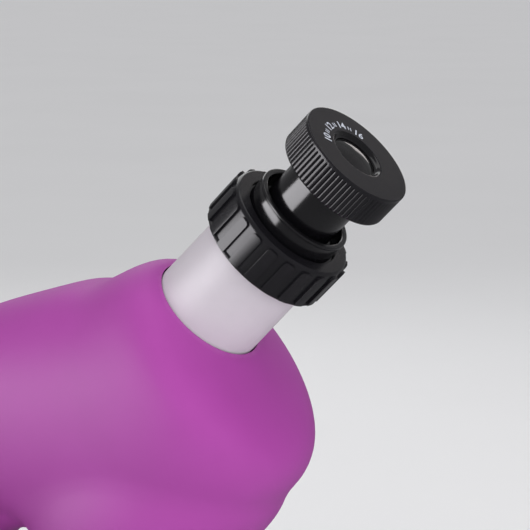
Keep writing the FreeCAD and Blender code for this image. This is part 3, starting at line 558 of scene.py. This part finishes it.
def make_eye_lens():
    dome_r, rim_z, dome_rise, dome_steps = 7.1, 70.45, 1.45, 12
    dome = [(dome_r * i / dome_steps, rim_z + dome_rise * (1 - (i / dome_steps) ** 2))
            for i in range(dome_steps + 1)]
    lens = turned("eye_lens_dome", [
        (0, 66.2), (8.8, 66.2), (9.0, 66.4), (9.0, 69.3), (8.8, 69.5), (7.1, 69.5)] + dome[::-1], 96)
    smooth(lens, 30, True)
    put(lens, ON_TUBE)
    fit(lens, EYE_GLASS_SHADE_TINTED, "eye_lens")


def flat_text(words, size, thickness):
    """Figures as a thin solid, centred on the origin."""
    clear()
    bpy.ops.object.text_add(location=(0, 0, 0))
    text = bpy.context.active_object
    text.data.body = words
    text.data.size = size
    text.data.align_x = "CENTER"
    text.data.align_y = "CENTER"
    text.data.extrude = thickness / 2
    text.data.offset = 0.05 * MM
    text.data.resolution_u = 3
    bpy.ops.object.convert(target="MESH")
    return bpy.context.active_object


def make_marks():
    """Powers of the zoom eyepiece on its face, with two ticks in each gap between them."""
    first, step = 125, 35
    middle_r, face = 11.0 * MM, 71.975 * MM
    marks = []
    for gap in range(3):
        for side in (-2.4, 2.4):
            clear()
            bpy.ops.mesh.primitive_cube_add(size=1, location=(middle_r, 0, face),
                                            scale=(1.5 * MM, 0.30 * MM, 0.05 * MM))
            tick = bpy.context.active_object
            bpy.ops.object.transform_apply(location=True, rotation=True, scale=True)
            edit(tick)
            pick_edges(tick, lambda a, b: abs(a.z - b.z) > 0.01 * MM)
            bpy.ops.mesh.bevel(offset=0.10 * MM, segments=2, affect="EDGES")
            bpy.ops.object.mode_set(mode="OBJECT")
            put(tick, Matrix.Rotation(radians(first + step * (gap + 0.5) + side), 4, "Z"))
            marks.append(tick)
    for i, words in enumerate(("16", "14", "12", "10")):
        figure = flat_text(words, 3.6 * MM, 0.05 * MM)
        round_face = Matrix.Rotation(radians(first + step * i), 4, "Z")
        upright = Matrix.Rotation(radians(-90), 4, "Z")
        put(figure, round_face @ Matrix.Translation((middle_r, 0, face)) @ upright)
        marks.append(figure)
    scale = joined(marks, "zoom_scale")
    put(scale, ON_TUBE)
    fit(scale, WHITE_INK, "scale_marks")


# ---- objectives -------------------------------------------------------------------
def wrapped_figures(words, size, radius, height, angle):
    """Figures laid round a barrel, upright as seen from outside."""
    figures = flat_text(words, size, 0.04 * MM)
    for corner in figures.data.vertices:
        along, up, out = corner.co
        turn = radians(angle) + along / (radius * MM)
        reach = radius * MM + out + 0.015 * MM
        corner.co = (reach * cos(turn), reach * sin(turn), height * MM + up)
    return figures


def make_objective(power, tip, outline, glass, station):
    """A chromed barrel with a knurled shoulder, a colour band and its power in figures."""
    seat, steps = 127.0, 96
    shoulder_r, knurl = 11.7 * MM, 0.975
    barrel = turned(f"objective_{power}x_barrel", [
        (5.0, seat + 4.5), (9.0, seat + 4.5), (9.0, seat), (11.8, seat), (11.8, 122.6), (11.3, 122.0),
        (11.0, 122.0), (11.0, 117.6), (10.75, 117.4), (10.75, 117.0), (11.0, 116.8), (11.0, 114.2),
        (10.6, 114.2), (10.6, 112.2), (11.0, 112.2)] + outline + [
        (glass, tip), (glass, tip + 1.6), (glass - 0.5, tip + 1.6), (glass - 0.5, tip + 4), (5.0, tip + 9),
        (5.0, seat + 4.5)], steps)
    for corner in barrel.data.vertices:
        if hypot(corner.co.x, corner.co.y) > shoulder_r:
            column = round(atan2(corner.co.y, corner.co.x) / (2 * pi) * steps)
            if column % 2:
                corner.co.x *= knurl
                corner.co.y *= knurl
    ease(barrel, 0.12, 2, 25)
    smooth(barrel, 38, True)
    put(barrel, objective_place(station))
    fit(barrel, CHROME, f"objective_{power}x")
    ring = turned(f"band_{power}x_ring", [(10.6, 112.2), (11.05, 112.2), (11.12, 112.45), (11.12, 113.95),
                                          (11.05, 114.2), (10.6, 114.2), (10.6, 112.2)], steps)
    smooth(ring, 40, True)
    put(ring, objective_place(station))
    fit(ring, FINISH_OF_SLOT[SLOT_OF[f"band_{power}x"]], f"band_{power}x")
    outward = 180
    figures = wrapped_figures(power, 4.2 * MM, 11.0, 109.0, outward)
    put(figures, objective_place(station))
    figures.name = f"power_figure_{power}"
    figures.data.materials.clear()
    figures.data.materials.append(DARK_INK)
    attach(figures, "nosepiece")


# ---- the rest, from the frame's own shapes ---------------------------------------
def eased_copy(name, node, width):
    """A frame part with its edges eased by a width in millimetres."""
    piece = merged_copy(name, node)
    edit(piece)
    bpy.ops.mesh.select_all(action="SELECT")
    bpy.ops.mesh.dissolve_limited(angle_limit=radians(0.6))
    bpy.ops.object.mode_set(mode="OBJECT")
    ease(piece, width)
    smooth(piece, weighted=True)
    fit(piece, FINISH_OF_SLOT[SLOT_OF[node]], node)


def smooth_copy(name, node, material=None):
    """A frame part with its facets smoothed."""
    piece = merged_copy(name, node)
    smooth(piece, 35)
    fit(piece, material or FINISH_OF_SLOT[SLOT_OF[node]], node)


set_camera()
set_studio()
lay_floor()
make_tube()
make_collar()
make_socket()
make_barrel()
make_head()
make_eye_lens()
make_marks()
smooth_copy("arm_shell", "arm_casing")
smooth_copy("arm_back_panel", "arm_rear_cover")
smooth_copy("base_pebble", "base_shell", material=PURPLE_BASE)
make_objective("4", 101.0, [(11.0, 105.5), (9.4, 103.0), (9.0, 101.4), (8.6, 101.0)], 4.6, 0)
make_objective("10", 91.0, [(11.0, 103.0), (8.4, 98.5), (8.0, 93.0), (6.6, 91.4), (6.2, 91.0)], 3.0, 1)
make_objective("40", 83.5, [(11.0, 99.0), (8.6, 95.0), (8.2, 90.0), (5.2, 85.2), (4.6, 83.9), (4.2, 83.5)],
               1.5, 2)
for part in ("nosepiece_base", "turret", "objective_lenses", "focus_knob_left", "focus_knob_right",
             "lamp_housing", "collector_lens", "condenser_lens", "condenser_ring", "field_lens", "led",
             "rubber_feet"):
    smooth_copy(part + "_shown", part)
for part, width in (("stage_plate", 0.3), ("stage_carrier", 0.3), ("slide_rail", 0.3),
                    ("stage_clip_left", 0.12), ("stage_clip_right", 0.12), ("diaphragm_disc", 0.15),
                    ("diaphragm_screw", 0.15), ("clip_screws", 0.15), ("stage_screws", 0.1),
                    ("rear_cover_screws", 0.15), ("base_bottom_plate", 0.2), ("battery_door", 0.2),
                    ("bottom_screws", 0.1), ("switch_bezel", 0.25), ("power_switch", 0.25)):
    eased_copy(part + "_shown", part, width)
for node, part in NODES.items():
    part.data.materials.clear()
    part.data.materials.append(FINISH_OF_SLOT[SLOT_OF[node]])
